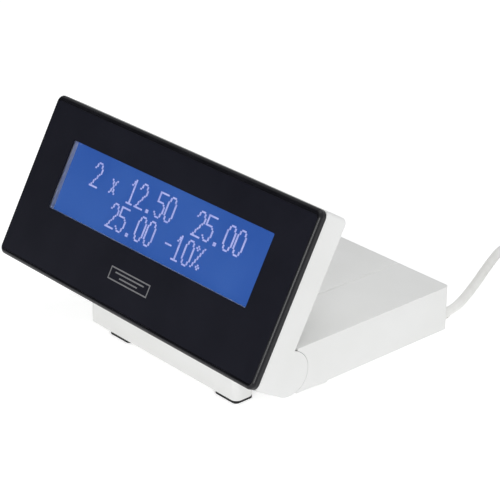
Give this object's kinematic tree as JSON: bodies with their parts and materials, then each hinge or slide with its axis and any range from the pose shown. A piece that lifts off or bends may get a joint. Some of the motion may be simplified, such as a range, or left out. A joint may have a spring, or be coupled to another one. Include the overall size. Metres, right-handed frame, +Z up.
{
  "type": "customer display",
  "caption": "Compact tilting customer display: two-line LCD head hinged on a flat white base, on a small pedestal with rubber feet, with a lead to the till.",
  "frame": {"origin": "middle of the object's footprint, on the surface it stands on, measured without the cord", "axes": "+Z up, the face looks towards -Y, +X to the reader's right along the width"},
  "size_m": [0.2097, 0.2405, 0.0974],
  "materials": {
    "black_frame": "satin black moulding",
    "black_panel": "fine matte black panel",
    "clear": "clear acrylic",
    "foam": "black foam",
    "grey_metal": "satin",
    "lcd_blue": "blue negative display",
    "light_guide": "milky",
    "led_white": "clear",
    "board_green": "solder mask",
    "chip_black": "moulded",
    "socket_white": "moulded",
    "screw_steel": "bright zinc",
    "shell_white": "fine texture",
    "hinge_steel": "pressed",
    "lead_black": "soft",
    "capacitor": "sleeved",
    "cord_white": "soft satin",
    "plug_metal": "nickel",
    "plate_grey": "moulded",
    "ballast_iron": "rough",
    "foot_rubber": "matte"
  },
  "bodies": {
    "base": {"base_top_cover": "shell_white", "base_bottom_cover": "shell_white", "base_cover_screws": "screw_steel", "main_board": "board_green", "main_board_screws": "screw_steel", "controller_chip": "chip_black", "board_components": "chip_black", "filter_capacitors": "capacitor", "cord_socket": "socket_white", "lead_socket": "socket_white", "hinge_bracket_right": "hinge_steel", "hinge_bracket_left": "hinge_steel", "hinge_bracket_screws": "screw_steel", "display_lead_base": "lead_black", "strain_relief": "cord_white", "cord_inner_lead": "cord_white", "cord_clamp": "shell_white", "cord_clamp_screw": "screw_steel", "cord_tube": "cord_white", "cord_coil": "cord_white", "cord_tail": "cord_white", "plug_overmold": "cord_white", "plug_shell": "plug_metal", "plug_insert": "socket_white", "stand_shell": "shell_white", "stand_bottom_plate": "plate_grey", "stand_screws": "screw_steel", "stand_plate_screws": "screw_steel", "ballast_block": "ballast_iron", "foot_front_left": "foot_rubber", "foot_front_right": "foot_rubber", "foot_side_left": "foot_rubber", "foot_side_right": "foot_rubber", "foot_rear_left": "foot_rubber", "foot_rear_right": "foot_rubber"},
    "head": {"front_bezel": "black_frame", "front_panel": "black_panel", "window_lens": "clear", "window_gasket": "foam", "lcd_frame": "grey_metal", "lcd_glass": "lcd_blue", "light_guide": "light_guide", "backlight_leds": "led_white", "lcd_board": "board_green", "lcd_driver_chips": "chip_black", "lcd_socket": "socket_white", "lcd_board_screws": "screw_steel", "head_rear_shell": "shell_white", "head_shell_screws": "screw_steel", "hinge_arm_right": "hinge_steel", "hinge_arm_left": "hinge_steel", "hinge_arm_screws": "screw_steel", "hinge_shaft_right": "hinge_steel", "hinge_shaft_left": "hinge_steel", "hinge_washers_right": "hinge_steel", "hinge_washers_left": "hinge_steel", "hinge_nut_right": "screw_steel", "hinge_nut_left": "screw_steel", "display_lead_head": "lead_black"}
  },
  "joints": [
    {"name": "display_tilt", "type": "hinge", "parent": "base", "child": "head", "pos_m": [0, -0.0356, 0.03201], "axis": [1, 0, 0], "range_deg": [0, 29.3]}
  ]
}
